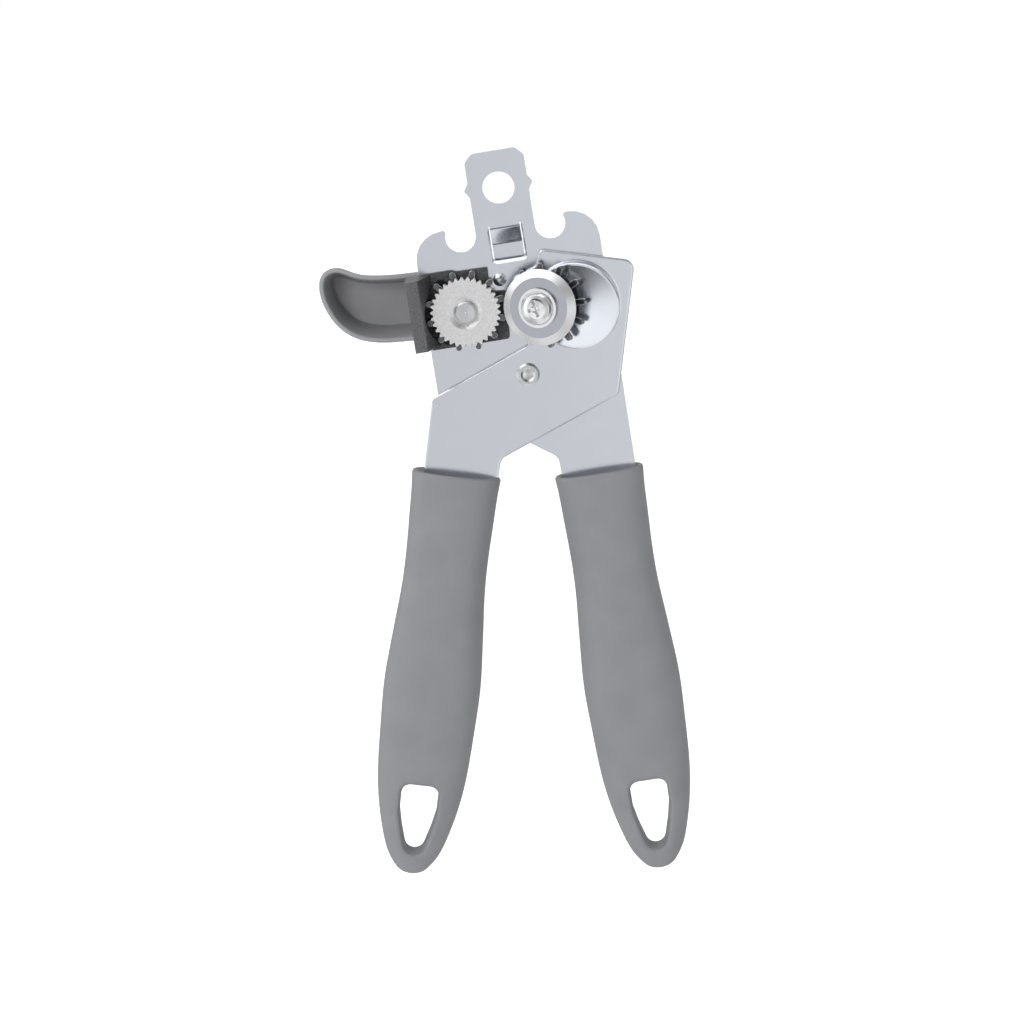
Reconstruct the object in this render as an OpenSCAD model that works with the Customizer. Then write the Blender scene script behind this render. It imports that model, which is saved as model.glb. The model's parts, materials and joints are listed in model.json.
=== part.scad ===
// Manual can opener: two crossed steel levers on one pivot rivet. The rear lever carries the
// turning knob, drive gear and feed wheel; the front lever carries the tilted cutter wheel.
// X is right, Z is up, the front faces -Y. The origin is the centre of the hanging hole.

/* [Levers] */
// Thickness of the steel lever plates
plate_t = 1.5; // [1.2:0.1:1.6]
// Half the width of a lever plate
plate_hw = 26.2; // [25:0.1:27]
// Corner radius of the plates
plate_r = 2.5; // [1.5:0.1:3]
// Distance from the hanging hole to the pivot rivet
hang_to_pivot = 53.6; // [53:0.1:54]
// Lean of the rear lever, top to the left
rear_tilt = 9; // [8:0.1:10]
// Lean of the front lever, top to the right
front_tilt = 6.6; // [6:0.1:7]
// Gap between the two plates
plate_gap = 0.1; // [0.05:0.01:0.2]
// Radius of the hanging hole
hang_r = 4.55; // [4:0.05:5]
// Radius of the cap lifter notches
notch_r = 4.3; // [4:0.1:4.5]

/* [Drive] */
// Knob axis from the pivot, along and across the rear lever
drive_at = [-14.6, 20.8]; // [-15:0.1:21]
// Radius of the drive shaft
shaft_r = 2.5; // [2.2:0.1:2.8]
// Radius of the feed wheel over its teeth
feed_r = 9.95; // [9:0.05:10.5]
// Number of teeth on the feed wheel
feed_teeth = 34; // [28:1:40]
// Thickness of the feed wheel
feed_t = 2.6; // [2:0.1:2.8]

/* [Gears] */
// Number of teeth on each gear
gear_teeth = 12; // [12:1:12]
// Thickness of both gears
gear_t = 1.5; // [1.2:0.1:1.5]
// Tip radius of the drive gear
drive_tip_r = 11.6; // [11.5:0.1:12]
// Tip radius of the cutter gear
cutter_tip_r = 12.1; // [12:0.1:12.4]
// Root radius of both gears
gear_root_r = 8.8; // [8.4:0.1:9]
// Direction of the first tooth of the drive gear
drive_phase = 20; // [18:1:21]
// Direction of the first tooth of the cutter gear
cutter_phase = 8; // [6:1:9]
// Width of a gear tooth
tooth_w = 1.7; // [1.4:0.1:1.9]

/* [Cutter] */
// Tilt of the cutter axis towards the drive side
cutter_tilt = 20; // [18:0.5:21]
// Centre of the raised boss under the cutter
boss_at = [21.9, -32.8]; // [-33:0.1:22]
// Radius of the raised boss
boss_r = 12.2; // [12:0.1:12.5]
// Foot of the cutter axis on the boss
cutter_at = [14.43, -32.6]; // [-33:0.01:15]
// Radius of the cutting edge
cutter_r = 10.8; // [10.5:0.1:11]
// Radius of the cutter post
post_r = 3; // [2.8:0.1:3.2]

/* [Handles and knob] */
// Handle centre line to lever axis, left and right
handle_x = [16.9, 15.6]; // [15:0.1:17]
// Top of the handles below the pivot
handle_top = -30.6; // [-31:0.1:-30]
// Front face of the knob rim behind the rear plate
knob_y = 9.6; // [9.5:0.1:11]
// Depth of the knob shell
knob_depth = 14; // [12:0.5:16]
// Wall thickness of the knob shell
knob_wall = 1.35; // [1.2:0.05:1.6]

/* [Hidden] */
$fn = 64;
run_gap = 0.05;                       // radial clearance of everything that turns
fit_gap = 0.1;                        // clearance of a tang in its handle pocket

// Levels along Y: each is the front face of the piece named.
rear_y = -plate_t / 2;
front_y = rear_y - plate_gap - plate_t;
guide_t = 1.2;
guide_y = rear_y - guide_t;
gear_y = guide_y - 0.1 - gear_t;
feed_back_y = gear_y - 1.05;
feed_y = feed_back_y - feed_t;
back_y = plate_t / 2;                 // back face of the rear plate

pivot = [hang_to_pivot * sin(rear_tilt), -hang_to_pivot * cos(rear_tilt)];
drive = pivot + [drive_at.x * cos(rear_tilt) - drive_at.y * sin(rear_tilt),
                 drive_at.x * sin(rear_tilt) + drive_at.y * cos(rear_tilt)];

// Heights along the cutter axis, from the face of the boss.
gear_h = 2.25;
spacer_h = gear_h + gear_t;
cutter_h = 7.85;
face_h = 9.4;
edge_h = 8.2;
washer_h = face_h + run_gap;
head_h = washer_h + 1;
flush_x = boss_at.x - boss_r;         // where the tilted boss runs into the plate
foot_y = front_y - (cutter_at.x - flush_x) * tan(cutter_tilt);

// Handle stations down from the pivot: [height, half width, half thickness].
handle_rows = [[handle_top, 12.8, 7.4], [-36, 12.1, 7.9], [-44, 11.85, 8.2], [-55, 11.75, 8.5],
               [-65, 12, 8.6], [-78, 13, 8.6], [-92, 13.9, 8.4], [-105, 13.6, 8],
               [-118, 12.95, 7.4], [-127, 11.8, 6.9], [-135, 10, 6.4], [-142, 7.7, 5.6],
               [-147, 4.7, 4], [-148.6, 2.9, 2.8], [-149.2, 1, 1.2]];
// One wing of the knob about its axis; the other is the same, turned half way round.
wing = [[-10, 9.8], [-22, 8.7], [-30, 8.8], [-36.5, 10.7], [-40.6, 9.3], [-42, 5.5],
        [-40.8, 0], [-37, -5.9], [-31.4, -9.7], [-24, -10.9], [-12, -10.2]];

// ---- helpers ----

// Outline with its corners rounded: each point is [x, y, radius].
function unit(v) = v / norm(v);
function corner(a, b, c, r) =
    let (u = unit([a.x - b.x, a.y - b.y]), v = unit([c.x - b.x, c.y - b.y]),
         half = acos(u * v) / 2, centre = [b.x, b.y] + unit(u + v) * r / sin(half),
         p = [b.x, b.y] + u * r / tan(half) - centre, q = [b.x, b.y] + v * r / tan(half) - centre,
         first = atan2(p.y, p.x), last = atan2(q.y, q.x),
         turn = (last - first + 540) % 360 - 180)
    [for (i = [0:5]) centre + r * [cos(first + turn * i / 5), sin(first + turn * i / 5)]];
function rounded(p) = [for (i = [0:len(p) - 1])
    let (a = p[(i + len(p) - 1) % len(p)], b = p[i], c = p[(i + 1) % len(p)])
    each (b[2] > 0 ? corner(a, b, c, b[2]) : [[b.x, b.y]])];

// Smooth curve through the points, open or closed.
function blend(a, b, c, d, t) = 0.5 * ((2 * b) + (c - a) * t + (2 * a - 5 * b + 4 * c - d) * t * t
                                       + (3 * b - a - 3 * c + d) * t * t * t);
function curve_open(p, steps) = let (n = len(p) - 1)
    concat([for (i = [0:n - 1], k = [0:steps - 1])
                blend(p[max(i - 1, 0)], p[i], p[i + 1], p[min(i + 2, n)], k / steps)], [p[n]]);
function curve_closed(p, steps) = let (n = len(p))
    [for (i = [0:n - 1], k = [0:steps - 1])
        blend(p[(i + n - 1) % n], p[i], p[(i + 1) % n], p[(i + 2) % n], k / steps)];

// Closed solid through a stack of rings that have the same number of points.
module loft(rings) {
    n = len(rings[0]);
    last = (len(rings) - 1) * n;
    polyhedron(
        points = [for (ring = rings) each ring],
        faces = concat(
            [[for (i = [0:n - 1]) n - 1 - i]],
            [for (k = [0:len(rings) - 2], i = [0:n - 1])
                [k * n + i, k * n + (i + 1) % n, (k + 1) * n + (i + 1) % n, (k + 1) * n + i]],
            [[for (i = [0:n - 1]) last + i]]));
}

// Children drawn flat, stood up facing the front at x, z with their back at depth y.
module facing(at, y) translate([at.x, y, at.y]) rotate([90, 0, 0]) children();
// A flat outline made into a sheet whose front face is at depth y.
module sheet(y, t) translate([0, y + t, 0]) rotate([90, 0, 0]) linear_extrude(t) children();
// The frame of a lever: its origin on the pivot, its Y up the lever.
module on_lever(tilt) translate([pivot.x, 0, pivot.y]) rotate([0, -tilt, 0]) children();
// The frame of the cutter, h above the boss.
module on_cutter(h = 0)
    translate([cutter_at.x, foot_y, cutter_at.y]) rotate([0, 0, -cutter_tilt])
        rotate([90, 0, 0]) translate([0, 0, h]) children();
module ring(outer, inner, t) difference() {
    cylinder(h = t, r = outer);
    translate([0, 0, -1]) cylinder(h = t + 2, r = inner);
}
// Gear blank with straight round-tipped teeth; the first tooth points at angle first.
module gear_2d(tip, first) {
    circle(gear_root_r);
    for (i = [0:gear_teeth - 1]) rotate(first + i * 360 / gear_teeth) {
        translate([0, -tooth_w / 2]) square([tip - tooth_w / 2, tooth_w]);
        translate([tip - tooth_w / 2, 0]) circle(tooth_w / 2);
    }
}
// Round shaft with two flats.
module flat_shaft(r, h) intersection() {
    cylinder(h = h, r = r);
    translate([-r, -0.8 * r, 0]) cube([2 * r, 1.6 * r, h]);
}

// ---- outlines, in the frame of a lever that goes down to the right ----

// Tang that the handle is moulded over, larger all round by g for the handle's pocket.
module tang_2d(g = 0) polygon(rounded([
    [5 - g, -27, 0], [5 - g, -40, 4], [9.5 - g, -48, 6], [9.5 - g, -94 - g, 4],
    [22.5 + g, -94 - g, 4], [22.5 + g, -48, 6], [plate_hw + g, -40, 4], [plate_hw + g, -27, 0]]));

nub_z = hang_to_pivot + 0.3;
notch = [12.8, hang_to_pivot - 12.25];
tab_hw = notch.x - notch_r - 0.05;
tab_top = hang_to_pivot + 10.5;
tab_cut = 2.3;
module rear_outline() {
    difference() {
        union() {
            // body of the lever with its two rounded shoulders
            polygon(rounded([
                [-plate_hw, -3, plate_r], [4.8, -25, 3], [5, -30, 0], [plate_hw, -30, 0],
                [plate_hw, notch.y + 2.5, 8], [notch.x + 4.4, notch.y + 2.5, 0.5],
                [notch.x + 3, notch.y, 0], [-notch.x - 3, notch.y, 0],
                [-notch.x - 4.4, notch.y + 2.5, 0.5], [-plate_hw, notch.y + 2.5, 8]]));
            // hanging tab with a nub on each side
            polygon(rounded([
                [tab_hw, notch.y - 4, 0], [tab_hw, nub_z - 2, 1], [tab_hw + 1.3, nub_z, 0.5],
                [tab_hw, nub_z + 2, 1], [tab_hw, tab_top - tab_cut, 1.5],
                [tab_hw - tab_cut, tab_top, 1.5], [-tab_hw + tab_cut, tab_top, 1.5],
                [-tab_hw, tab_top - tab_cut, 1.5], [-tab_hw, nub_z + 2, 1],
                [-tab_hw - 1.3, nub_z, 0.5], [-tab_hw, nub_z - 2, 1], [-tab_hw, notch.y - 4, 0]]));
        }
        for (side = [-1, 1]) translate([side * notch.x, notch.y]) circle(notch_r);
    }
    tang_2d();
}

window_hw = 4.6;
window_top = hang_to_pivot - 10.5;
window_h = 10;
window_bottom = window_top - window_h;
module window_2d() polygon(rounded([
    [-window_hw, window_bottom, 1.2], [window_hw, window_bottom, 1.2],
    [window_hw, window_top, 0], [-window_hw, window_top, 0]]));
// Bevel of the window's front edge: narrow at the sides and wide at the bottom.
module window_bevel() {
    side = 0.5;
    low = 0.9;
    deep = 0.7;
    intersection() {
        translate([0, 0, window_bottom - low]) linear_extrude(window_h + low) polygon([
            [-window_hw - side, rear_y - 0.01], [window_hw + side, rear_y - 0.01],
            [window_hw, rear_y + deep], [-window_hw, rear_y + deep]]);
        sheet(rear_y - 0.02, deep + 0.04) polygon(rounded([
            [-window_hw - side, window_bottom - low, 1.6], [window_hw + side, window_bottom - low, 1.6],
            [window_hw + side, window_top, 1.6], [-window_hw - side, window_top, 1.6]]));
        translate([-window_hw - side, 0, 0]) rotate([90, 0, 90])
            linear_extrude(2 * (window_hw + side)) polygon([
                [rear_y - 0.01, window_bottom - low], [rear_y - 0.01, window_top],
                [rear_y + deep, window_top], [rear_y + deep, window_bottom]]);
    }
}

module front_outline() {
    polygon(rounded([
        [-1.1, 8.2, 0], [-1.1, 19, 2], [-7.2, 24.6, 1], [-7.2, 27, 1], [-1.3, 31, 2],
        [-1, 35.8, 1.5], [plate_hw, 35.8, 3], [plate_hw, -2.6, plate_r], [-4.8, -25, 3],
        [-5, -30, 0], [-plate_hw, -30, 0], [-plate_hw, -10, plate_r]]));
    mirror([1, 0]) tang_2d();
}

// ---- rear lever ----

tongue_t = 1.2;
tongue_y = 1.8;
tongue_h = 11.4;
// Cap lifter tongue: drawn as its side profile, bent back and down behind the window.
module tongue() {
    translate([-window_hw + 0.3, 0, window_top])
        rotate([90, 0, 90]) linear_extrude(2 * window_hw - 0.6) polygon(rounded([
            [-plate_t / 2, 0.6, 0], [-plate_t / 2, -0.9, 2], [tongue_y, -5.4, 2],
            [tongue_y, -tongue_h, 0.3], [tongue_y + tongue_t, -tongue_h, 0.3],
            [tongue_y + tongue_t, -5, 3], [plate_t / 2, -0.3, 0.8], [plate_t / 2, 0.6, 0]]));
}

module rear_plate() color("silver") {
    difference() {
        on_lever(rear_tilt) sheet(rear_y, plate_t) difference() {
            rear_outline();
            window_2d();
        }
        on_lever(rear_tilt) window_bevel();
        facing([0, 0], 5) cylinder(h = 10, r = hang_r);
        facing(pivot, 5) cylinder(h = 10, r = shaft_r);
        facing(drive, 5) cylinder(h = 10, r = bushing_r);
        on_lever(rear_tilt) facing(stop_at, 5) cylinder(h = 10, r = 1);
        on_lever(rear_tilt) for (at = guide_rivet_at) facing(at, 5) cylinder(h = 10, r = 1);
    }
    on_lever(rear_tilt) tongue();
}

// Handle: oval loft with a hanging loop and a pocket for the plate's tang.
module handle(centre_x) {
    rows = curve_open(handle_rows, 3);
    difference() {
        translate([centre_x, 0, 0]) loft([for (row = rows) [for (i = [0:31])
            let (c = cos(i * 360 / 32), s = sin(i * 360 / 32))
            [row[1] * sign(c) * pow(abs(c), 0.85), row[2] * sign(s) * pow(abs(s), 0.85), row[0]]]]);
        translate([centre_x, 0, 0]) loop();
        sheet(rear_y - fit_gap, plate_t + 2 * fit_gap) tang_2d(fit_gap);
    }
}
// Egg-shaped through hole near the end of the handle.
loop_circles = [[-2.75, -123.9, 2.6], [2.75, -123.9, 2.6], [0, -129.5, 5.3], [0, -133.8, 4.4],
                [0, -138.3, 2.85]];
module loop() translate([0, 12, 0]) rotate([90, 0, 0]) linear_extrude(24) hull()
    for (c = loop_circles) translate([c.x, c.y]) circle(c[2], $fn = 32);

module right_handle() color("gray") on_lever(rear_tilt) handle(handle_x[1]);

// Rim guide: a thin textured plate around the feed wheel with a thick lip along its left edge.
lip_front = -13;
guide_top = 32.3;
guide_bottom = 10.9;
guide_rivet_at = [[-20.5, 28.6], [-20.5, 13.6]];
module rim_guide() color([0.13, 0.13, 0.14]) difference() {
    on_lever(rear_tilt) union() {
        sheet(guide_y, guide_t) polygon(rounded([
            [-25.5, guide_bottom, 0], [-3.4, guide_bottom, 1], [-2.6, 24.6, 0.6],
            [-6.8, 24.9, 1], [-6.6, guide_top - 0.4, 0.4], [-15.6, guide_top - 0.3, 3],
            [-17, guide_top + 0.3, 3], [-25.5, guide_top + 0.3, 0]]));
        translate([0, 0, guide_bottom + 1.3]) linear_extrude(guide_top - guide_bottom - 1.3)
            polygon(rounded([[-30, lip_front, 0.4], [-26.4, lip_front, 0.4],
                             [-23, guide_y - 0.1, 0.6], [-23, rear_y, 0], [-26.3, rear_y, 0],
                             [-26.3, back_y, 0], [-30, back_y, 0.8]]));
    }
    facing(drive, 5) cylinder(h = 10, r = bushing_r);
    // pocket in the slanted wall of the lip, for the drive gear and the feed wheel
    facing(drive, guide_y) cylinder(h = 3, r = drive_tip_r + 0.4);
    facing(drive, guide_y - 2) cylinder(h = 12, r = drive_tip_r - 0.1);
    on_lever(rear_tilt) for (at = guide_rivet_at) {
        facing(at, 5) cylinder(h = 10, r = 1);
        facing(at, guide_y + 0.6) cylinder(h = 1, r1 = 1, r2 = 2.6);
    }
}
// Two flush rivets that hold the guide to the rear plate.
module guide_rivets() color("silver") on_lever(rear_tilt) for (at = guide_rivet_at) {
    facing(at, back_y) cylinder(h = plate_t + 0.6, r = 1);
    facing(at, guide_y + 0.6) cylinder(h = 0.6, r1 = 1, r2 = 1.96);
    facing(at, back_y + 0.6) cylinder(h = 0.6, r = 1.8);
}

// Flanged sleeve that the drive shaft turns in.
bushing_r = 4;
bushing_flange_r = 6.5;
bushing_back = back_y + 1;
module drive_bushing() color("tan") difference() {
    union() {
        facing(drive, bushing_back) cylinder(h = bushing_back - guide_y, r = bushing_r);
        facing(drive, bushing_back) cylinder(h = 1, r = bushing_flange_r);
    }
    facing(drive, bushing_back + 1) cylinder(h = 6, r = shaft_r + run_gap);
}

// Domed stud that the edge of the front plate meets when the handles are closed.
stop_at = [-3.7, 27.8];
stop_r = 1.9;
module stop_pin() color("silver") on_lever(rear_tilt) {
    facing(stop_at, back_y) cylinder(h = plate_t, r = 1);
    facing(stop_at, rear_y) rotate_extrude() intersection() {
        translate([0, -1.2]) circle(2.25);
        square([stop_r, 1.1]);
    }
}

// ---- pivot, fixed in the rear plate ----

spring_washer_t = 0.6;
washer_t = 0.8;
module pivot_rivet() color("silver") facing(pivot, back_y + spring_washer_t + washer_t + 1.2)
    rotate_extrude() let (back = 1.2, shank = 1.2 + washer_t + spring_washer_t + 2 * plate_t + plate_gap)
    polygon([
        [0, 0.25], [2.2, 0.25], [3.4, 0], [4, 0.4], [4, back], [shaft_r, back], [shaft_r, shank + 0.05],
        [3.3, shank + 0.05], [3.3, shank + 0.25], [2.65, shank + 0.6], [2.1, shank + 0.6],
        [1.5, shank + 0.2], [0, shank]]);
module pivot_spring_washer() color("silver")
    facing(pivot, back_y + spring_washer_t) ring(5, shaft_r + run_gap, spring_washer_t);
module pivot_washer() color("silver")
    facing(pivot, back_y + spring_washer_t + washer_t) ring(5.6, shaft_r + run_gap, washer_t);

// ---- front lever ----

// Half space behind the tilted face of the boss, lowered by depth.
module behind_boss(depth) on_cutter(-depth - 60) translate([-60, -60, 0]) cube([120, 120, 60]);

module front_plate() color("silver") difference() {
    union() {
        on_lever(-front_tilt) sheet(front_y, plate_t) front_outline();
        intersection() {
            facing(boss_at, front_y + plate_t) cylinder(h = 14, r = boss_r);
            behind_boss(0);
        }
    }
    intersection() {
        facing(boss_at, front_y + plate_t + 1) cylinder(h = 15, r = boss_r - plate_t);
        behind_boss(plate_t);
    }
    facing(pivot, 5) cylinder(h = 15, r = shaft_r + run_gap);
    on_cutter(-plate_t - 4) cylinder(h = 8, r = post_r);
}

module left_handle() color("gray") on_lever(-front_tilt) translate([0, front_y - rear_y, 0])
    mirror([1, 0, 0]) handle(handle_x[0]);

// Shouldered post riveted through the boss, with a tapped bore for the screw.
post_head = 0.5;
module cutter_post() color("silver") difference() {
    union() {
        on_cutter(-plate_t) cylinder(h = plate_t + washer_h, r = post_r);
        on_cutter(-plate_t - post_head) cylinder(h = post_head, r = post_r + 0.2);
    }
    on_cutter(2) cylinder(h = washer_h, r = screw_r);
}
module cutter_base_washer() color("silver")
    on_cutter(0) ring(5, post_r + run_gap, gear_h - run_gap);
module cutter_washer() color("silver") on_cutter(washer_h) difference() {
    cylinder(h = 1, r = 5.6);
    translate([0, 0, -1]) cylinder(h = 3, r = screw_r + run_gap);
    translate([0, 0, 0.7]) cylinder(h = 1, r1 = 4.5, r2 = 5.5);
}

// Screw with a low domed head and a cross recess.
screw_r = 1.8;
screw_head_r = 4.3;
module cutter_screw() color("silver") on_cutter(head_h - 0.3) difference() {
    union() {
        translate([0, 0, -7.5]) cylinder(h = 8, r = screw_r);
        rotate_extrude() polygon([[0, 0], [screw_head_r, 0], [screw_head_r, 0.6],
                                  [screw_head_r - 0.5, 1.15], [2.6, 1.5], [0, 1.6]]);
    }
    translate([0, 0, 0.5]) for (turn = [0, 90]) rotate(turn + 20)
        translate([-2.4, -0.5, 0]) cube([4.8, 1, 2]);
    translate([0, 0, 0.2]) cylinder(h = 2, r1 = 0.5, r2 = 1.6);
}

// ---- drive, turning with the knob ----

shaft_back = knob_y + knob_depth - 4;
module drive_shaft() color("silver") {
    facing(drive, bushing_back + 1) cylinder(h = bushing_back + 1 - guide_y + 0.05, r = shaft_r);
    facing(drive, shaft_back) flat_shaft(shaft_r, shaft_back - bushing_back - 1);
    facing(drive, guide_y - 0.05) flat_shaft(shaft_r, guide_y - 0.05 - feed_y - 0.7);
    facing(drive, feed_y + 0.7) rotate_extrude() polygon([
        [0, 0], [3.1, 0], [3.1, 0.7], [2.7, 1.15], [0, 1.3]]);
}
module drive_gear() color("silver") facing(drive, gear_y + gear_t) difference() {
    linear_extrude(gear_t) gear_2d(drive_tip_r, drive_phase);
    translate([0, 0, -1]) flat_shaft(shaft_r, gear_t + 2);
}

// Serrated wheel with a hub that holds it off the gear and a sunk seat for the shaft's head.
tooth_depth = 0.85;
module feed_wheel() color("lightgray") facing(drive, gear_y) difference() {
    union() {
        cylinder(h = gear_y - feed_back_y, r = 5);
        translate([0, 0, gear_y - feed_back_y]) linear_extrude(feed_t) polygon([
            for (i = [0:feed_teeth - 1]) let (a = i * 360 / feed_teeth, w = 360 / feed_teeth)
                each [feed_r * [cos(a), sin(a)], feed_r * [cos(a + 0.2 * w), sin(a + 0.2 * w)],
                      (feed_r - tooth_depth) * [cos(a + 0.55 * w), sin(a + 0.55 * w)],
                      (feed_r - tooth_depth) * [cos(a + 0.7 * w), sin(a + 0.7 * w)]]]);
    }
    translate([0, 0, -1]) flat_shaft(shaft_r, 8);
    translate([0, 0, gear_y - feed_y - 0.7]) cylinder(h = 1, r = 3.1);
    translate([0, 0, gear_y - feed_y - 0.7]) cylinder(h = 0.71, r1 = 3.1, r2 = 4.8);
}

// Wing knob: a hollow two-winged shell, open to the front, on a central hub.
outline = curve_closed(concat(wing, -wing), 3);
function inset(i, d) = let (n = len(outline), a = outline[(i + n - 1) % n], b = outline[(i + 1) % n])
    outline[i] + unit([a.y - b.y, b.x - a.x]) * d;
// Prism of the outline, drawn in by d, from the rim plane to this depth below it.
module knob_prism(depth, d, above = 0) translate([0, 0, -knob_y - depth])
    linear_extrude(depth + above) polygon([for (i = [0:len(outline) - 1]) inset(i, d)]);
knob_back = knob_y + knob_depth;
knob_floor = 1.4;
// The shell narrows towards its back: [distance from the back, inset].
knob_steps = [[11, 0], [8, 0.6], [5, 1.1], [2, 1.6], [0, 1.9]];
module wing_knob() color("gray") translate([drive.x, 0, drive.y]) rotate([90, 0, 0]) difference() {
    union() {
        difference() {
            union() for (k = knob_steps) knob_prism(knob_depth - k[0], k[1]);
            for (k = knob_steps) knob_prism(knob_depth - knob_floor - k[0], k[1] + knob_wall, 1);
        }
        translate([0, 0, -knob_back + 1]) cylinder(h = knob_back - 1 - hub_front, r = hub_r);
    }
    translate([0, 0, -shaft_back]) flat_shaft(shaft_r, 40);
}
knob_washer_t = 0.8;
hub_front = bushing_back + 0.1 + knob_washer_t;
hub_r = 5.4;
module knob_washer() color("silver")
    facing(drive, hub_front) ring(hub_r, shaft_r + run_gap, knob_washer_t);

// ---- cutter, turning on its post ----

module cutter_gear() color("silver") on_cutter(gear_h) difference() {
    linear_extrude(gear_t) gear_2d(cutter_tip_r, cutter_phase);
    translate([0, 0, -1]) cylinder(h = gear_t + 2, r = post_r + run_gap);
}
module cutter_spacer() color("silver") on_cutter(spacer_h)
    ring(5.2, post_r + run_gap, cutter_h - spacer_h);
module cutter_wheel() color("lightgray") on_cutter(cutter_h) rotate_extrude() polygon([
    [post_r + run_gap, 0], [cutter_r - 0.7, 0], [cutter_r, edge_h - cutter_h],
    [cutter_r - 2.2, face_h - cutter_h], [post_r + run_gap, face_h - cutter_h]]);

rear_plate();
right_handle();
rim_guide();
guide_rivets();
drive_bushing();
stop_pin();
pivot_rivet();
pivot_spring_washer();
pivot_washer();
front_plate();
left_handle();
cutter_post();
cutter_base_washer();
cutter_washer();
cutter_screw();
drive_shaft();
drive_gear();
feed_wheel();
wing_knob();
knob_washer();
cutter_gear();
cutter_spacer();
cutter_wheel();
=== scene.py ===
import json
import math

import bmesh
import bpy
import numpy as np
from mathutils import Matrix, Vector


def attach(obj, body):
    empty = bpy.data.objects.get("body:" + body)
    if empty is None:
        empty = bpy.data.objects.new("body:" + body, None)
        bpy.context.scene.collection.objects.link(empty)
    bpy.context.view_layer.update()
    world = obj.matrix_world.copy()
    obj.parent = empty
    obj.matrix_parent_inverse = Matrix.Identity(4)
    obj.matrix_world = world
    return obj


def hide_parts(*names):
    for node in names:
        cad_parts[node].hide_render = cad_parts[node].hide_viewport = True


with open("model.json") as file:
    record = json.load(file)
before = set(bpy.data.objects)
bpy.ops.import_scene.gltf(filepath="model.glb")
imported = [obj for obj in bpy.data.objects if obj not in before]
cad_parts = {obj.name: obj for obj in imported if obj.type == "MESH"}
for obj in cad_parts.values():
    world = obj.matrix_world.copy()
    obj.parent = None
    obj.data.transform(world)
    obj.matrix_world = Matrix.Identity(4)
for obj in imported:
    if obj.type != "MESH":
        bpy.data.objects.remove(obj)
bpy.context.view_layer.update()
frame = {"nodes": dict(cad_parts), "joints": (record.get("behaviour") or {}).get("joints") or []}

MM = 0.001
JOINTS = {joint["name"]: joint for joint in frame["joints"]}
PIVOT = Vector(JOINTS["handle_pivot"]["pos_m"])
DRIVE = Vector(JOINTS["knob_spin"]["pos_m"])
DRIVE_AXIS = Vector(JOINTS["knob_spin"]["axis"]).normalized()
CUTTER = Vector(JOINTS["cutter_spin"]["pos_m"])
CUTTER_AXIS = Vector(JOINTS["cutter_spin"]["axis"]).normalized()

# Centre of the front lever's boss in metres. Its face is shaded as a dome, out to this reach in
# millimetres and with this slope.
BOSS = Vector((0.0219, 0, -0.0328))
BOSS_REACH = 11.4
BOSS_SLOPE = 0.1
# Front of the guide's lip along Y, in millimetres.
LIP_FRONT = -13.0
# Radii in millimetres on the cutter wheel, where its flat face ends and its bevel begins.
CUTTER_FACE_R = 8.45
CUTTER_BEVEL_R = 8.65

# Edges sharper than this many degrees stay sharp, on the CAD nodes and on the moulded pieces.
CAD_CREASE = 20
MOULDED_CREASE = 40

# Lean of each lever in degrees, and the front lever's middle plane along Y, in millimetres from the
# rear one's.
REAR_TILT = 9.0
FRONT_TILT = 6.6
FRONT_PLANE = -1.6


# ---- small geometry helpers, in millimetres unless a name says otherwise ----

def catmull(points, steps, closed):
    """Points along a Catmull-Rom curve through the given rows, with this many steps a span."""
    p = np.array(points, float)
    n = len(p)
    spans = n if closed else n - 1
    out = []
    for i in range(spans):
        if closed:
            a, b, c, d = p[i - 1], p[i], p[(i + 1) % n], p[(i + 2) % n]
        else:
            a, b, c, d = p[max(i - 1, 0)], p[i], p[i + 1], p[min(i + 2, n - 1)]
        for t in np.arange(steps) / steps:
            out.append(0.5 * (2 * b + (c - a) * t + (2 * a - 5 * b + 4 * c - d) * t * t
                              + (3 * b - a - 3 * c + d) * t ** 3))
    if not closed:
        out.append(p[-1])
    return np.array(out)


def outward(outline):
    """Unit normals of a closed outline that runs anticlockwise."""
    along = np.roll(outline, -1, axis=0) - np.roll(outline, 1, axis=0)
    normal = np.stack([along[:, 1], -along[:, 0]], axis=1)
    return normal / np.linalg.norm(normal, axis=1)[:, None]


def closed_mesh(name, rings):
    """A closed mesh object through a stack of rings of the same length, capped at both ends."""
    rings = [np.asarray(ring, float) for ring in rings]
    n = len(rings[0])
    verts = np.concatenate(rings)
    faces = []
    for k in range(len(rings) - 1):
        for i in range(n):
            j = (i + 1) % n
            faces.append((k * n + i, k * n + j, (k + 1) * n + j, (k + 1) * n + i))
    last = (len(rings) - 1) * n
    faces.append(tuple(range(n - 1, -1, -1)))
    faces.append(tuple(range(last, last + n)))
    mesh = bpy.data.meshes.new(name)
    mesh.from_pydata((verts * MM).tolist(), [], faces)
    bm = bmesh.new()
    bm.from_mesh(mesh)
    bmesh.ops.recalc_face_normals(bm, faces=bm.faces)
    bm.to_mesh(mesh)
    bm.free()
    piece = bpy.data.objects.new(name, mesh)
    bpy.context.scene.collection.objects.link(piece)
    return piece


def settle(piece):
    """Applies every modifier of a piece to its mesh."""
    bpy.context.view_layer.update()
    graph = bpy.context.evaluated_depsgraph_get()
    mesh = bpy.data.meshes.new_from_object(piece.evaluated_get(graph))
    old = piece.data
    piece.modifiers.clear()
    piece.data = mesh
    bpy.data.meshes.remove(old)
    mesh.name = piece.name


def discard(piece):
    """Removes a piece and its mesh."""
    mesh = piece.data
    bpy.data.objects.remove(piece)
    bpy.data.meshes.remove(mesh)


def cut(piece, tool):
    """Cuts the tool out of the piece, and removes the tool."""
    step = piece.modifiers.new("cut", "BOOLEAN")
    step.operation = "DIFFERENCE"
    step.solver = "EXACT"
    step.object = tool
    settle(piece)
    discard(tool)


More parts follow.
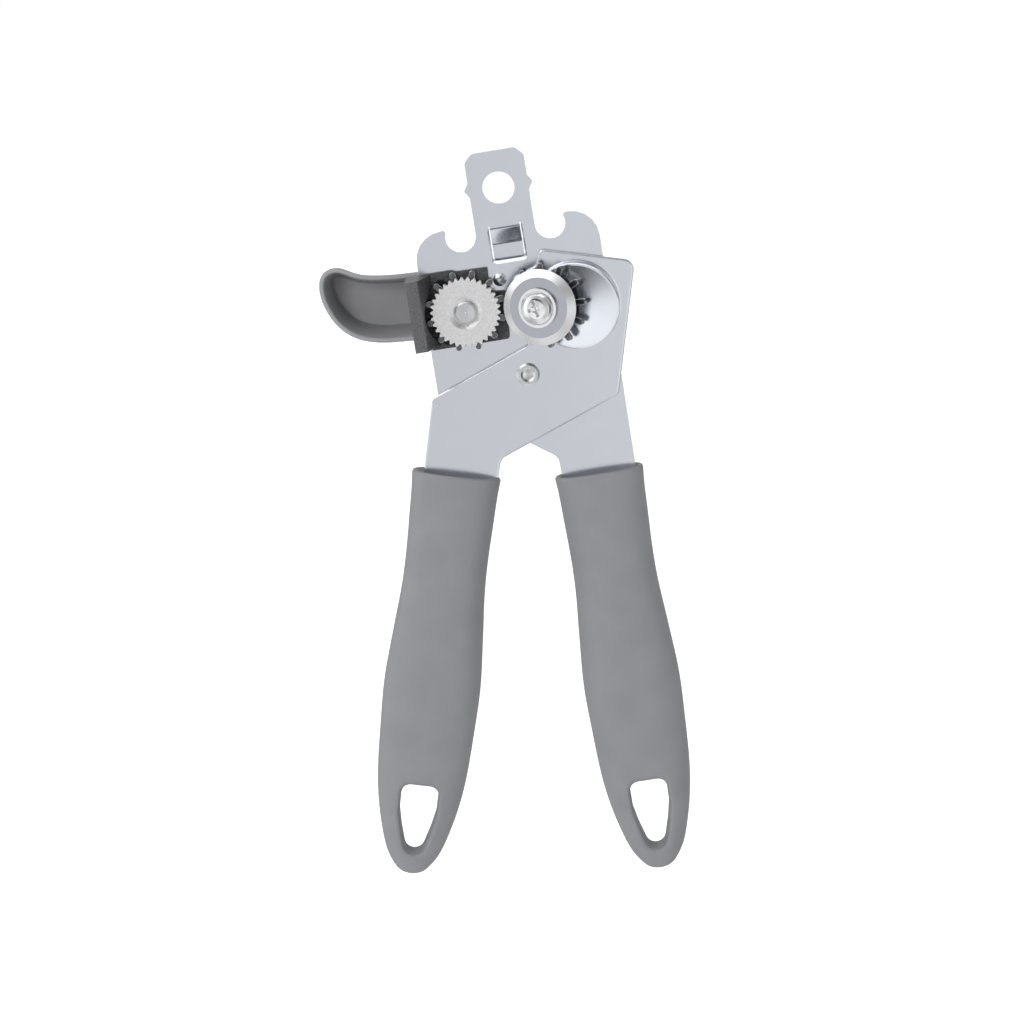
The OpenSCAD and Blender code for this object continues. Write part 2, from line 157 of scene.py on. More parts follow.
def add_on(piece, other):
    """Puts the other piece's closed mesh into this one. Softening then makes them one solid."""
    bm = bmesh.new()
    bm.from_mesh(piece.data)
    bm.from_mesh(other.data)
    bm.to_mesh(piece.data)
    bm.free()
    discard(other)


def soften(piece, voxel, rounds):
    """Rebuilds the piece's surface from voxels of this size and relaxes it, which rounds its edges."""
    remesh = piece.modifiers.new("remesh", "REMESH")
    remesh.mode = "VOXEL"
    remesh.voxel_size = voxel * MM
    remesh.use_smooth_shade = True
    smooth = piece.modifiers.new("smooth", "CORRECTIVE_SMOOTH")
    smooth.use_only_smooth = True
    smooth.smooth_type = "LENGTH_WEIGHTED"
    smooth.factor = 0.5
    smooth.iterations = rounds
    settle(piece)


def shade_smooth(piece):
    """Smooth shading, with sharp edges where a moulded piece's faces meet at a crease."""
    piece.data.shade_smooth()
    sharp = math.radians(MOULDED_CREASE)
    bm = bmesh.new()
    bm.from_mesh(piece.data)
    for edge in bm.edges:
        edge.smooth = len(edge.link_faces) == 2 and edge.calc_face_angle(0) < sharp
    bm.to_mesh(piece.data)
    bm.free()


# ---- materials ----

def new_material(name, colour, metallic, roughness, **sockets):
    mat = bpy.data.materials.new(name)
    mat.use_nodes = True
    shader = mat.node_tree.nodes["Principled BSDF"]
    shader.inputs["Base Color"].default_value = (*colour, 1)
    shader.inputs["Metallic"].default_value = metallic
    shader.inputs["Roughness"].default_value = roughness
    for socket, value in sockets.items():
        shader.inputs[socket.replace("_", " ")].default_value = value
    return mat


def add_node(owner, kind, **settings):
    """A new node in the tree of a material or a world."""
    node = owner.node_tree.nodes.new(kind)
    for name, value in settings.items():
        setattr(node, name, value)
    return node


def join(owner, source, target):
    owner.node_tree.links.new(source, target)


def feed(owner, socket, value):
    """Links a socket to another one, or sets it to a fixed value."""
    if isinstance(value, bpy.types.NodeSocket):
        join(owner, value, socket)
    else:
        socket.default_value = value


def combine(owner, operation, first, second):
    """A Math node's result. Each operand is a socket or a number."""
    node = add_node(owner, "ShaderNodeMath", operation=operation)
    feed(owner, node.inputs[0], first)
    feed(owner, node.inputs[1], second)
    return node.outputs["Value"]


def vector_math(owner, operation, *operands):
    """A Vector Math node's result. Each operand is a socket or a vector."""
    node = add_node(owner, "ShaderNodeVectorMath", operation=operation)
    for socket, operand in zip(node.inputs, operands):
        feed(owner, socket, operand)
    return node.outputs["Value" if operation in ("DOT_PRODUCT", "LENGTH") else "Vector"]


def map_range(owner, value, given, wanted=(0, 1), kind="LINEAR"):
    """The value moved from one range to another, and held inside the second one."""
    node = add_node(owner, "ShaderNodeMapRange", interpolation_type=kind)
    join(owner, value, node.inputs["Value"])
    for socket, limit in zip(("From Min", "From Max", "To Min", "To Max"), (*given, *wanted)):
        node.inputs[socket].default_value = limit
    return node.outputs["Result"]


def position(mat):
    """Object coordinates: the place on the piece, which goes with it when it moves."""
    return add_node(mat, "ShaderNodeTexCoord").outputs["Object"]


def along_y(mat):
    """How far back the place on the piece is, in metres."""
    split = add_node(mat, "ShaderNodeSeparateXYZ")
    join(mat, position(mat), split.inputs["Vector"])
    return split.outputs["Y"]


def noise(mat, where, size, detail, stretch=(1, 1, 1)):
    """Noise whose features are about this many millimetres across, longer where stretched."""
    mapping = add_node(mat, "ShaderNodeMapping")
    mapping.inputs["Scale"].default_value = [1 / s for s in stretch]
    join(mat, where, mapping.inputs["Vector"])
    texture = add_node(mat, "ShaderNodeTexNoise")
    texture.inputs["Scale"].default_value = 1 / (size * MM)
    texture.inputs["Detail"].default_value = detail
    join(mat, mapping.outputs["Vector"], texture.inputs["Vector"])
    return texture.outputs["Fac"]


def spread(mat, value, low, high):
    """The middle half of a noise's values, spread over low to high."""
    return map_range(mat, value, (0.25, 0.75), (low, high))


def rough(mat, value):
    join(mat, value, mat.node_tree.nodes["Principled BSDF"].inputs["Roughness"])


def bump(mat, height, depth):
    """Adds relief of about this many millimetres, on top of any relief that is there already."""
    shader = mat.node_tree.nodes["Principled BSDF"]
    node = add_node(mat, "ShaderNodeBump")
    node.inputs["Strength"].default_value = 1.0
    node.inputs["Distance"].default_value = depth * MM
    join(mat, height, node.inputs["Height"])
    if shader.inputs["Normal"].is_linked:
        join(mat, shader.inputs["Normal"].links[0].from_socket, node.inputs["Normal"])
    join(mat, node.outputs["Normal"], shader.inputs["Normal"])


def rounded_normal(mat, radius, samples):
    """The surface's direction as if each edge were rounded to this radius in millimetres."""
    node = add_node(mat, "ShaderNodeBevel", samples=samples)
    node.inputs["Radius"].default_value = radius * MM
    return node.outputs["Normal"]


def soft_edges(mat, radius):
    """Lets the light run round each edge. It comes before any bump, which then adds to it."""
    shader = mat.node_tree.nodes["Principled BSDF"]
    join(mat, rounded_normal(mat, radius, 6), shader.inputs["Normal"])


def painted_edge_highlights(mat, radius, dark, light):
    """Dark faces with bright edges: a painted highlight along each edge, where the rounded normal turns
    away from the plain one.
    """
    plain = add_node(mat, "ShaderNodeNewGeometry").outputs["Normal"]
    same = vector_math(mat, "DOT_PRODUCT", rounded_normal(mat, radius, 8), plain)
    tint(mat, map_range(mat, same, (0.99, 0.9)), dark, light)


def domed(mat, centre, axis, reach, slope):
    """Tips the surface away from an axis, out to this reach in millimetres, as a shallow cone."""
    away = distance_from_axis(mat, centre, axis)
    bump(mat, map_range(mat, away, (0, reach * MM), (1, 0)), reach * slope)


def tint(mat, value, dark, light):
    """Base colour between two tones by the value from 0 to 1."""
    ramp = add_node(mat, "ShaderNodeValToRGB")
    ramp.color_ramp.elements[0].position = 0.3
    ramp.color_ramp.elements[0].color = (*dark, 1)
    ramp.color_ramp.elements[1].position = 0.7
    ramp.color_ramp.elements[1].color = (*light, 1)
    join(mat, value, ramp.inputs["Fac"])
    join(mat, ramp.outputs["Color"], mat.node_tree.nodes["Principled BSDF"].inputs["Base Color"])


def distance_from_axis(mat, centre, axis):
    """How far a point is from an axis, in metres, for the marks that turning leaves."""
    shift = vector_math(mat, "SUBTRACT", position(mat), centre)
    return vector_math(mat, "LENGTH", vector_math(mat, "CROSS_PRODUCT", shift, axis))


def turned_marks(mat, centre, axis, pitch):
    """Fine rings of uneven height around an axis."""
    texture = add_node(mat, "ShaderNodeTexNoise", noise_dimensions="1D")
    texture.inputs["Scale"].default_value = 1 / (pitch * MM)
    texture.inputs["Detail"].default_value = 1.0
    join(mat, distance_from_axis(mat, centre, axis), texture.inputs["W"])
    return texture.outputs["Fac"]


def lever_steel(name, edge):
    """Bright polished strip: nearly flat, with a faint rolled grain up the lever and slight waves."""
    mat = new_material(name, (0.80, 0.83, 0.885), 1.0, 0.2)
    soft_edges(mat, edge)
    where = position(mat)
    grain = noise(mat, where, 0.25, 3.0, stretch=(1, 1, 30))
    rough(mat, spread(mat, noise(mat, where, 6, 3.0), 0.16, 0.23))
    bump(mat, noise(mat, where, 12, 1.0), 0.02)
    bump(mat, grain, 0.0012)
    return mat


def pressed_steel():
    """The front lever's strip: its boss is pressed up with a slightly domed face."""
    mat = lever_steel("pressed_steel", 0.9)
    domed(mat, BOSS, (0, 1, 0), BOSS_REACH, BOSS_SLOPE)
    return mat


def moulded_plastic(name, tone):
    """Matte grey plastic with the fine grain of a spark-eroded mould."""
    mat = new_material(name, tone, 0.0, 0.5, Specular_IOR_Level=0.42)
    where = position(mat)
    light = [1.03 * t for t in tone]
    dark = [0.95 * t for t in tone]
    tint(mat, noise(mat, where, 9, 2.0), dark, light)
    rough(mat, spread(mat, noise(mat, where, 0.5, 2.0), 0.46, 0.58))
    bump(mat, noise(mat, where, 0.32, 3.0), 0.035)
    return mat


def guide_plastic():
    """Black plastic with a pebbled mould texture; the front of its lip is tinted paler as a painted
    highlight.
    """
    black = (0.034, 0.034, 0.035)
    mat = new_material("guide_plastic", black, 0.0, 0.4)
    soft_edges(mat, 0.3)
    where = position(mat)
    front = ((LIP_FRONT + 0.5) * MM, (LIP_FRONT + 0.2) * MM)
    # Painted highlight: the lip's front face is tinted paler, standing in for the light that it catches.
    painted_lit_front = map_range(mat, along_y(mat), front, (0.36, 0.6))
    speckle = spread(mat, noise(mat, where, 0.45, 4.0), -0.25, 0.25)
    tint(mat, combine(mat, "ADD", painted_lit_front, speckle), black, (0.095, 0.095, 0.098))
    rough(mat, spread(mat, noise(mat, where, 0.8, 2.0), 0.32, 0.52))
    bump(mat, noise(mat, where, 0.55, 3.0), 0.32)
    return mat


def plain_steel(name, tone, low, high, wave, edge):
    """Plated or tumbled steel: clean, with small dents, worn edges and an uneven shine."""
    mat = new_material(name, tone, 1.0, low)
    soft_edges(mat, edge)
    where = position(mat)
    rough(mat, spread(mat, noise(mat, where, 1.5, 3.0), low, high))
    bump(mat, noise(mat, where, 1.8, 2.0), wave)
    return mat


def gear_steel():
    """Dark hardened teeth: partly their own dark finish and partly painted shade, with a painted
    highlight on their edges.
    """
    dark = (0.17, 0.17, 0.175)
    edge = 0.3
    mat = plain_steel("gear_steel", dark, 0.18, 0.3, 0.006, edge)
    # Painted highlight on the teeth's edges, over a dark tone that is partly painted shade.
    painted_edge_highlights(mat, edge, dark, (0.8, 0.8, 0.8))
    return mat


def turned_metal(name, tone, centre, axis, pitch, depth):
    """Metal with the fine rings that turning or grinding leaves. The rings' height is given too."""
    mat = new_material(name, tone, 1.0, 0.2)
    soft_edges(mat, 0.12)
    rings = turned_marks(mat, centre, axis, pitch)
    bump(mat, rings, depth)
    bump(mat, noise(mat, position(mat), 0.4, 2.0), 0.004)
    return mat, rings


def bushing_brass():
    """Turned brass."""
    mat, rings = turned_metal("bushing_brass", (0.72, 0.56, 0.30), DRIVE, DRIVE_AXIS, 0.15, 0.004)
    rough(mat, spread(mat, rings, 0.2, 0.32))
    return mat


def cutter_steel():
    """Hardened wheel: a grey turned face inside a bright, satin ground bevel."""
    bright = (0.90, 0.90, 0.90)
    mat, _ = turned_metal("cutter_steel", bright, CUTTER, CUTTER_AXIS, 0.14, 0.0012)
    away = distance_from_axis(mat, CUTTER, CUTTER_AXIS)
    bevel = map_range(mat, away, (CUTTER_FACE_R * MM, CUTTER_BEVEL_R * MM))
    tint(mat, bevel, (0.46, 0.47, 0.51), bright)
    rough(mat, map_range(mat, bevel, (0, 1), (0.2, 0.44)))
    return mat


def feed_steel():
    """Sintered steel: pale, satin, with a sandy grain."""
    pale = (0.86, 0.855, 0.85)
    mat = new_material("wheel_steel", pale, 1.0, 0.4)
    soft_edges(mat, 0.12)
    where = position(mat)
    tint(mat, noise(mat, where, 0.5, 3.0), pale, (0.99, 0.985, 0.98))
    rough(mat, spread(mat, noise(mat, where, 0.6, 3.0), 0.36, 0.48))
    bump(mat, noise(mat, where, 0.5, 3.0), 0.1)
    return mat


SLOTS = {
    "lever_steel": lever_steel("lever_steel", 0.12),
    "pressed_steel": pressed_steel(),
    "handle_plastic": moulded_plastic("handle_plastic", (0.187, 0.189, 0.199)),
    "knob_plastic": moulded_plastic("knob_plastic", (0.25, 0.25, 0.255)),
    "guide_plastic": guide_plastic(),
    "small_steel": plain_steel("small_steel", (0.74, 0.74, 0.75), 0.28, 0.38, 0.003, 0.18),
    "black_steel": plain_steel("black_steel", (0.035, 0.035, 0.037), 0.45, 0.6, 0.004, 0.1),
    "screw_steel": plain_steel("screw_steel", (0.83, 0.83, 0.84), 0.14, 0.24, 0.004, 0.18),
    "gear_steel": gear_steel(),
    "wheel_steel": feed_steel(),
    "cutter_steel": cutter_steel(),
    "bushing_brass": bushing_brass(),
}
NODE_SLOTS = {
    "lever_steel": ["rear_plate"],
    "pressed_steel": ["front_plate"],
    "handle_plastic": ["left_handle", "right_handle"],
    "knob_plastic": ["wing_knob"],
    "guide_plastic": ["rim_guide"],
    "black_steel": ["guide_rivets"],
    "small_steel": ["stop_pin", "pivot_rivet", "pivot_spring_washer",
                    "pivot_washer", "cutter_post", "cutter_base_washer", "cutter_spacer",
                    "drive_shaft", "knob_washer"],
    "screw_steel": ["cutter_screw", "cutter_washer"],
    "gear_steel": ["drive_gear", "cutter_gear"],
    "wheel_steel": ["feed_wheel"],
    "cutter_steel": ["cutter_wheel"],
    "bushing_brass": ["drive_bushing"],
}


def dress(piece, slot_name):
    piece.data.materials.clear()
    piece.data.materials.append(SLOTS[slot_name])


# ---- finish of the CAD nodes: their shape stays, and their curved faces are shaded smooth ----

def smooth_cad_node(piece):
    piece.data.shade_smooth()
    weld = piece.modifiers.new("weld", "WELD")
    weld.merge_threshold = 0.002 * MM
    split = piece.modifiers.new("crease", "EDGE_SPLIT")
    split.split_angle = math.radians(CAD_CREASE)


def finish_cad_nodes():
    for slot_name, nodes in NODE_SLOTS.items():
        for node in nodes:
            piece = frame["nodes"][node]
            dress(piece, slot_name)
            smooth_cad_node(piece)


# ---- handles ----

# Stations down from the pivot along the lever: height, half width, half thickness.
HANDLE_ROWS = [[-30.6, 12.8, 7.4], [-36, 12.35, 7.9], [-44, 12.1, 8.2], [-55, 11.8, 8.5],
               [-65, 12, 8.6], [-78, 13, 8.6], [-92, 13.9, 8.4], [-105, 13.6, 8],
               [-118, 12.95, 7.4], [-127, 11.8, 6.9], [-135, 10, 6.4], [-142, 7.7, 5.6],
               [-146.5, 4.8, 4], [-148, 2.9, 2.8], [-148.6, 1, 1.2]]
HANDLE_TOP = HANDLE_ROWS[0][0]
# Power of the oval section: 1 is an ellipse, and less is squarer.
SECTION_POWER = 0.85
RING_POINTS = 144
# Circles whose hull is the hanging loop: place across and down, radius.
LOOP_CIRCLES = [(-2.75, -123.9, 2.6), (2.75, -123.9, 2.6), (0, -129.5, 5.3), (0, -133.8, 4.4),
                (0, -139.1, 2.9)]
# Width and depth of the rim that rolls out of the loop. The loop's hull is found in this many
# directions, and longer gaps then get points about this far apart.
LOOP_RIM = (2.0, 1.5)
LOOP_DIRECTIONS = 96
LOOP_STEP = 0.6
# What is scooped out of the mouth, from the top down: height above the handle's top, and inset.
MOUTH_STEPS = [(1.5, 0.9), (0.0, 1.1), (-0.5, 1.7), (-1.0, 3.0), (-1.3, 4.6)]
TOP_ROUND = 0.7
# Centre line of each handle from the axis of its lever.
LEFT_HANDLE_X = 16.9
RIGHT_HANDLE_X = 15.6
# The plate in the handle's mouth, and the narrower tang below it, out to its two sides.
PLATE_T = 1.5
PLATE_INNER = 5
PLATE_OUTER = 26.2
TANG_INNER = 9.5
TANG_OUTER = 22.5
TANG_END = -94.5
SLOT_TOP = -25
SLOT_GAP = 0.3


def oval(half_width, half_depth, x):
    """The handle's section, centred at x."""
    angle = np.arange(RING_POINTS) * 2 * math.pi / RING_POINTS
    c, s = np.cos(angle), np.sin(angle)
    return np.stack([x + half_width * np.sign(c) * np.abs(c) ** SECTION_POWER,
                     half_depth * np.sign(s) * np.abs(s) ** SECTION_POWER], axis=1)


def level(ring, z):
    return np.column_stack([ring, np.full(len(ring), z)])


def handle_body(name, x):
    """The oval body, with its top edge rounded over."""
    rows = catmull(HANDLE_ROWS, 8, closed=False)
    rings = []
    for turn in (0, 30, 60):
        inset = TOP_ROUND * (1 - math.sin(math.radians(turn)))
        z = HANDLE_TOP - TOP_ROUND * (1 - math.cos(math.radians(turn)))
        rings.append(level(oval(rows[0][1] - inset, rows[0][2] - inset, x), z))
    for z, half_width, half_depth in rows:
        if z < HANDLE_TOP - TOP_ROUND:
            rings.append(level(oval(half_width, half_depth, x), z))
    return closed_mesh(name, rings)


def mouth_dish(x):
    """What is scooped out of the handle's top around the plate."""
    width, depth = HANDLE_ROWS[0][1:]
    return closed_mesh("dish", [level(oval(width - inset, depth - inset, x), HANDLE_TOP + rise)
                                for rise, inset in MOUTH_STEPS])


def egg_outline():
    """Outline of the hanging loop, anticlockwise: the hull of its circles, with points close together."""
    corners = []
    for angle in np.linspace(0, 2 * math.pi, LOOP_DIRECTIONS, endpoint=False):
        u, v = math.cos(angle), math.sin(angle)
        x, z, r = max(LOOP_CIRCLES, key=lambda c: c[0] * u + c[1] * v + c[2])
        corners.append((x + r * u, z + r * v))
    corners = np.array(corners)
    following = np.roll(corners, -1, axis=0)
    outline = []
    for start, end in zip(corners, following):
        parts = max(1, round(float(np.linalg.norm(end - start)) / LOOP_STEP))
        for k in range(parts):
            outline.append(start + (end - start) * k / parts)
    return np.array(outline)


def handle_depth(x, z):
    """Half thickness of the handle at a point across and down from its centre line."""
    rows = np.array(HANDLE_ROWS)[::-1]
    half_width = np.interp(z, rows[:, 0], rows[:, 1])
    half_depth = np.interp(z, rows[:, 0], rows[:, 2])
    across = min(abs(x) / half_width, 1)
    return half_depth * (1 - across ** (2 / SECTION_POWER)) ** (SECTION_POWER / 2)


def loop_tool(x):
    """The loop's hole with a rim that rolls out onto the front and the back of the handle."""
    outline = egg_outline()
    normals = outward(outline)
    wide, deep = LOOP_RIM
    surface = np.array([handle_depth(px, pz) for px, pz in outline])
    profile = [(wide * (1 - math.cos(math.radians(a))), deep * (math.sin(math.radians(a)) - 1))
               for a in (0, 20, 40, 60, 80)]
    profile.append((wide * 1.05, 0.4))
    profile.append((wide * 1.1, 4))
    rings = []
    for side in (-1, 1):
        half = []
        for offset, rise in profile:
            flat = outline + normals * offset
            half.append(np.column_stack([flat[:, 0] + x, side * (surface + rise), flat[:, 1]]))
        rings += half[::-1] if side < 0 else half
    return closed_mesh("loop", rings)


def slot_tool():
    """The pocket of the plate's tang. Below the mouth it keeps clear of the handle's inner side."""
    g = SLOT_GAP
    outline = [(PLATE_INNER - g, SLOT_TOP), (PLATE_INNER - g, -32.4), (8, -34),
               (TANG_INNER - g, -50), (TANG_INNER - g, TANG_END),
               (TANG_OUTER + g, TANG_END), (TANG_OUTER + g, -50),
               (PLATE_OUTER + g, -41), (PLATE_OUTER + g, SLOT_TOP)]
    half = PLATE_T / 2 + g
    return closed_mesh("slot", [[(x, y, z) for x, z in outline] for y in (-half, half)])


def to_lever(piece, tilt, mirrored, plane):
    """Moves a piece from the frame of a lever, about its pivot, to the frame of the whole part."""
    a = math.radians(tilt)
    across = -1 if mirrored else 1
    for vertex in piece.data.vertices:
        x, y, z = vertex.co
        x *= across
        vertex.co = (PIVOT.x + x * math.cos(a) - z * math.sin(a), y + plane * MM,
                     PIVOT.z + x * math.sin(a) + z * math.cos(a))
    if mirrored:
        piece.data.flip_normals()


def make_handle(name, node, x, tilt, mirrored, plane, body):
    piece = handle_body(name, x)
    cut(piece, mouth_dish(x))
    cut(piece, loop_tool(x))
    soften(piece, voxel=0.42, rounds=6)
    cut(piece, slot_tool())
    to_lever(piece, tilt, mirrored, plane)
    shade_smooth(piece)
    dress(piece, "handle_plastic")
    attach(piece, body)
    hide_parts(node)


# ---- knob ----

# One wing about the drive axis, seen from the front; the other is the same, half a turn on.
WING = [[-10, 9.8], [-22, 8.7], [-30, 8.8], [-36.5, 10.7], [-40.6, 9.3], [-42, 5.5],
        [-40.8, 0], [-37, -5.9], [-31.4, -9.7], [-24, -10.9], [-12, -10.2]]
KNOB_FRONT = 9.6
KNOB_DEPTH = 14.0
KNOB_WALL = 1.4
KNOB_FLOOR = 1.4
# How far the walls lean in for each millimetre of depth, so that the knob leaves its mould.
KNOB_DRAFT = 0.18
# Radii of the shell's edges: at the rim, at the back, and inside where the floor meets the wall.
RIM_ROUND = 0.45
BACK_ROUND = 1.6
FLOOR_ROUND = 0.3
# The hub starts here and ends inside the back wall. The shaft's bore starts in front of the hub and
# stops short of the back.
HUB_R = 5.4
HUB_FRONT = 2.65
HUB_INSET = 0.7
BORE_LEAD = 3
BORE_INSET = 4
SHAFT_R = 2.5
SHAFT_FLAT = 0.8
RUN_GAP = 0.05
BAR_POINTS = 72
# A moved point counts as folded over when it is nearer to the outline than this share of its inset,
# less this slack.
FOLD_SHARE = 0.985
FOLD_SLACK = 0.01


def knob_outline():
    wing = np.array(WING)
    outline = catmull(np.concatenate([wing, -wing]), 12, closed=True)
    area = np.sum(outline[:, 0] * np.roll(outline[:, 1], -1)
                  - np.roll(outline[:, 0], -1) * outline[:, 1])
    return outline if area > 0 else outline[::-1]


def drawn_in(outline, inset):
    """The outline moved inwards. Where it would fold over itself, points are spread along the fold."""
    moved = outline - outward(outline) * inset
    if inset <= 0:
        return moved
    gap = np.linalg.norm(moved[:, None] - outline[None], axis=2).min(axis=1)
    good = np.flatnonzero(gap > inset * FOLD_SHARE - FOLD_SLACK)
    places = np.arange(len(outline))
    return np.column_stack([np.interp(places, good, moved[good, k], period=len(outline))
                            for k in (0, 1)])


def rounding(radius, steps):
    """Offsets of a quarter round from a wall to a flat: towards the flat, and away from the wall."""
    turns = np.linspace(0, math.pi / 2, steps)
    return [(radius * math.sin(t), radius * (1 - math.cos(t))) for t in turns]


def knob_shell():
    outline = knob_outline()

    def ring(depth, inset):
        flat = drawn_in(outline, inset)
        return np.column_stack([flat[:, 0], np.full(len(flat), KNOB_FRONT + depth), flat[:, 1]])

    floor = KNOB_DEPTH - KNOB_FLOOR
    rings = []
    for deeper, inwards in rounding(FLOOR_ROUND, 4)[::-1]:
        depth = floor - FLOOR_ROUND + deeper
        rings.append(ring(depth, KNOB_WALL + KNOB_DRAFT * depth + inwards))
    for depth in np.linspace(floor - FLOOR_ROUND - 1, RIM_ROUND + 1, 8):
        rings.append(ring(depth, KNOB_WALL + KNOB_DRAFT * depth))
    for nearer, outwards in rounding(RIM_ROUND, 4):
        rings.append(ring(RIM_ROUND - nearer, KNOB_WALL - outwards))
    for nearer, inwards in rounding(RIM_ROUND, 4)[::-1]:
        rings.append(ring(RIM_ROUND - nearer, inwards))
    for depth in np.linspace(RIM_ROUND + 1, KNOB_DEPTH - BACK_ROUND - 1, 8):
        rings.append(ring(depth, KNOB_DRAFT * depth))
    for deeper, inwards in rounding(BACK_ROUND, 7):
        depth = KNOB_DEPTH - BACK_ROUND + deeper
        rings.append(ring(depth, KNOB_DRAFT * depth + inwards))
    return closed_mesh("wing_knob_shell", rings)


def round_bar(radius, front, back, flat=1):
    """A bar along the drive axis. Two flats cut it where flat is a share of its radius below 1."""
    angle = np.arange(BAR_POINTS) * 2 * math.pi / BAR_POINTS
    x = radius * np.cos(angle)
    z = np.clip(radius * np.sin(angle), -flat * radius, flat * radius)
    return [np.column_stack([x, np.full(BAR_POINTS, y), z]) for y in (front, back)]


def make_knob():
    piece = knob_shell()
    back = KNOB_FRONT + KNOB_DEPTH
    hub = closed_mesh("hub", round_bar(HUB_R, HUB_FRONT, back - HUB_INSET))
    add_on(piece, hub)
    soften(piece, voxel=0.27, rounds=1)
    bore = round_bar(SHAFT_R + RUN_GAP, HUB_FRONT - BORE_LEAD, back - BORE_INSET + RUN_GAP, SHAFT_FLAT)
    cut(piece, closed_mesh("bore", bore))
    for vertex in piece.data.vertices:
        vertex.co += Vector((DRIVE.x, 0, DRIVE.z))
    shade_smooth(piece)
    dress(piece, "knob_plastic")
    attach(piece, "drive")
    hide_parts("wing_knob")


# ---- studio ----

# Top and radius of the floor in metres, and its thickness in millimetres.
FLOOR_Z = -0.30
FLOOR_R = 3.0
FLOOR_T = 5
FLOOR_POINTS = 96
# Strength of the floor's own glow, and where it grows: along Y, and outwards from the middle.
FLOOR_GLOW = 0.55
GLOW_BACK = (-0.5, 0.1)
GLOW_OUT = (0.6, 1.6)


def make_floor():
    """A wide pale floor that fades to white behind the part and far from it."""
    angle = np.arange(FLOOR_POINTS) * 2 * math.pi / FLOOR_POINTS
    disc = np.column_stack([FLOOR_R * np.cos(angle), FLOOR_R * np.sin(angle)]) / MM
    floor = closed_mesh("floor", [level(disc, FLOOR_Z / MM - drop) for drop in (FLOOR_T, 0)])
    mat = new_material("floor", (0.82, 0.82, 0.83), 0.0, 0.7)
    shader = mat.node_tree.nodes["Principled BSDF"]
    shader.inputs["Emission Color"].default_value = (1, 1, 1, 1)
    behind = map_range(mat, along_y(mat), GLOW_BACK, (0, FLOOR_GLOW), "SMOOTHSTEP")
    reach = vector_math(mat, "LENGTH", position(mat))
    around = map_range(mat, reach, GLOW_OUT, (0, FLOOR_GLOW), "SMOOTHSTEP")
    join(mat, combine(mat, "MAXIMUM", behind, around), shader.inputs["Emission Strength"])
    floor.data.materials.append(mat)
    floor.visible_glossy = False


# What surrounds the part in its reflections: the room's own brightness, then patches of light
# and shade. Each is a direction, the half angles that it starts and stops fading at, and what it
# adds to the brightness. The camera itself sees an even backdrop.
ROOM = 0.48
DARKEST = 0.03
BACKDROP = 1.05
PATCHES = [
    ((0.0, -1.0, -0.17), 8, 24, 0.18),
    ((0.5, -0.85, -0.1), 10, 30, 0.75),
    ((-1.0, -0.05, 0.0), 18, 44, 0.8),
    ((-0.6, -0.35, 0.7), 14, 30, 1.7),
    ((0.0, -0.28, 0.96), 10, 22, 0.8),
    ((0.1, -0.2, -1.0), 24, 50, 0.45),
    ((0.25, -0.82, 0.5), 17, 27, -0.9),
    ((0.0, -0.82, -0.58), 6, 22, -0.45),
    ((0.95, -0.3, -0.05), 12, 32, -0.6),
    ((0.85, 0.5, -0.1), 12, 28, 0.4),
    ((0.0, 0.95, 0.2), 14, 34, 0.5),
    ((-0.5, -0.8, -0.35), 10, 26, 0.6),
    ((-0.6, -0.75, 0.28), 10, 20, -0.6),
    ((-0.33, -0.75, 0.57), 8, 17, 1.3),
]


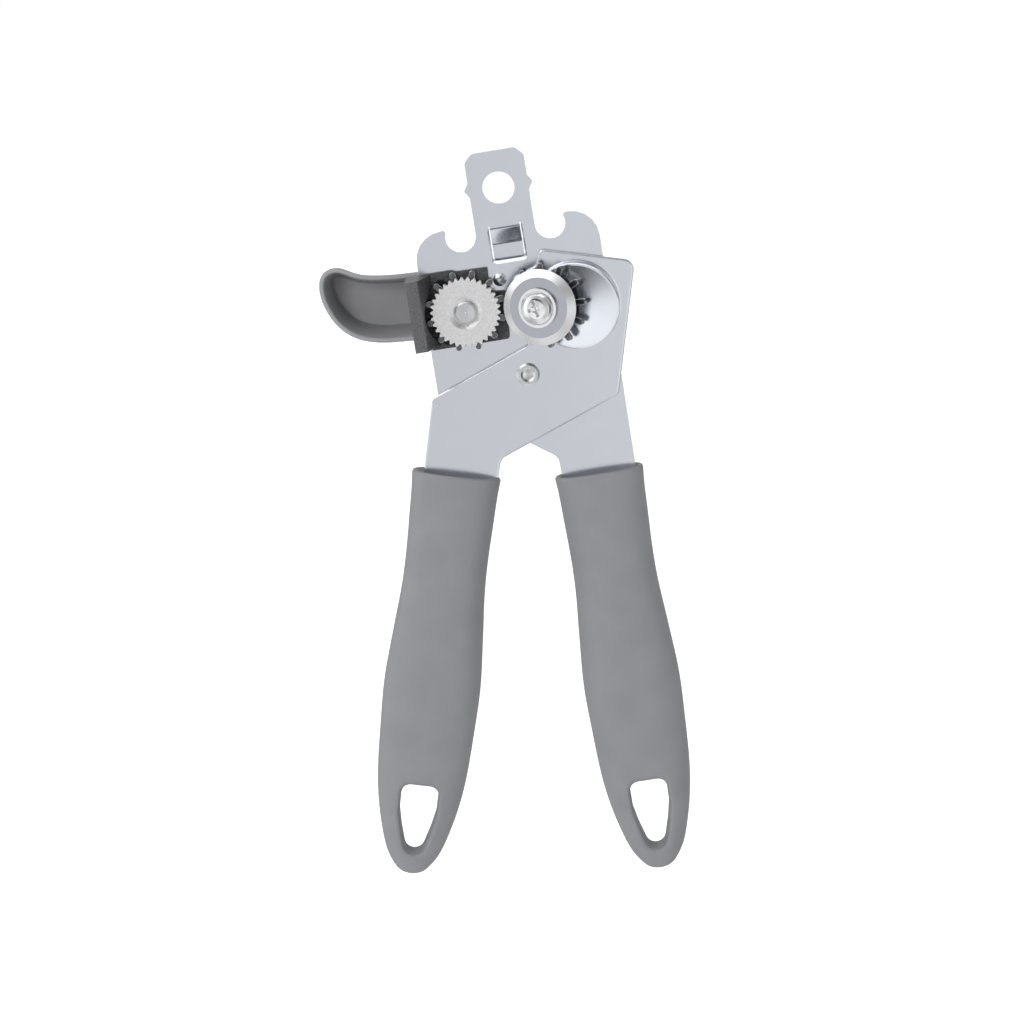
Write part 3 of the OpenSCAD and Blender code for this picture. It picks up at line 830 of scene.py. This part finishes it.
def make_world():
    """The surroundings: plain white to the camera, and the patches to everything else."""
    world = bpy.data.worlds.new("studio")
    bpy.context.scene.world = world
    world.use_nodes = True
    background = world.node_tree.nodes["Background"]
    direction = add_node(world, "ShaderNodeTexCoord").outputs["Generated"]
    total = ROOM
    for toward, inner, outer, brightness in PATCHES:
        facing = vector_math(world, "DOT_PRODUCT", direction, Vector(toward).normalized())
        fade = (math.cos(math.radians(outer)), math.cos(math.radians(inner)))
        patch = map_range(world, facing, fade, (0, brightness), "SMOOTHSTEP")
        total = combine(world, "ADD", patch, total)
    white = add_node(world, "ShaderNodeMix", data_type="FLOAT")
    white.inputs["B"].default_value = BACKDROP
    join(world, combine(world, "MAXIMUM", total, DARKEST), white.inputs["A"])
    seen = add_node(world, "ShaderNodeLightPath")
    join(world, seen.outputs["Is Camera Ray"], white.inputs["Factor"])
    background.inputs["Color"].default_value = (0.985, 0.99, 1.0, 1)
    join(world, white.outputs["Result"], background.inputs["Strength"])


# What the camera and the lamps point at, and the camera's place and lens.
AIM = Vector((3.83, 0, -92.94)) * MM
CAMERA_DISTANCE = 1.2
CAMERA_ELEVATION = 10.0
LENS = 147.66
SENSOR = 36.0


def area_light(name, place, size, power):
    light = bpy.data.lights.new(name, "AREA")
    light.shape = "DISK"
    light.size = size
    light.energy = power
    lamp = bpy.data.objects.new(name, light)
    lamp.location = place
    lamp.visible_glossy = False
    lamp.rotation_mode = "QUATERNION"
    lamp.rotation_quaternion = (AIM - Vector(place)).to_track_quat("-Z", "Y")
    bpy.context.scene.collection.objects.link(lamp)


def make_camera():
    camera = bpy.data.cameras.new("camera")
    camera.sensor_width = SENSOR
    camera.lens = LENS
    camera.clip_start = 0.05
    camera.clip_end = 50
    eye = bpy.data.objects.new("camera", camera)
    up = math.radians(CAMERA_ELEVATION)
    back = Vector((0, -math.cos(up), math.sin(up)))
    eye.location = AIM + back * CAMERA_DISTANCE
    eye.rotation_mode = "QUATERNION"
    eye.rotation_quaternion = (-back).to_track_quat("-Z", "Y")
    bpy.context.scene.collection.objects.link(eye)
    bpy.context.scene.camera = eye


finish_cad_nodes()
make_handle("left_handle_grip", "left_handle", LEFT_HANDLE_X, -FRONT_TILT, True, FRONT_PLANE,
            "front_arm")
make_handle("right_handle_grip", "right_handle", RIGHT_HANDLE_X, REAR_TILT, False, 0.0, "rear_arm")
make_knob()
make_floor()
make_world()
area_light("key", place=(-0.6, -1.25, 0.3), size=0.6, power=10)
area_light("fill", place=(1.1, -0.7, 0.3), size=0.8, power=3.6)
make_camera()
bpy.context.scene.view_settings.view_transform = "Standard"
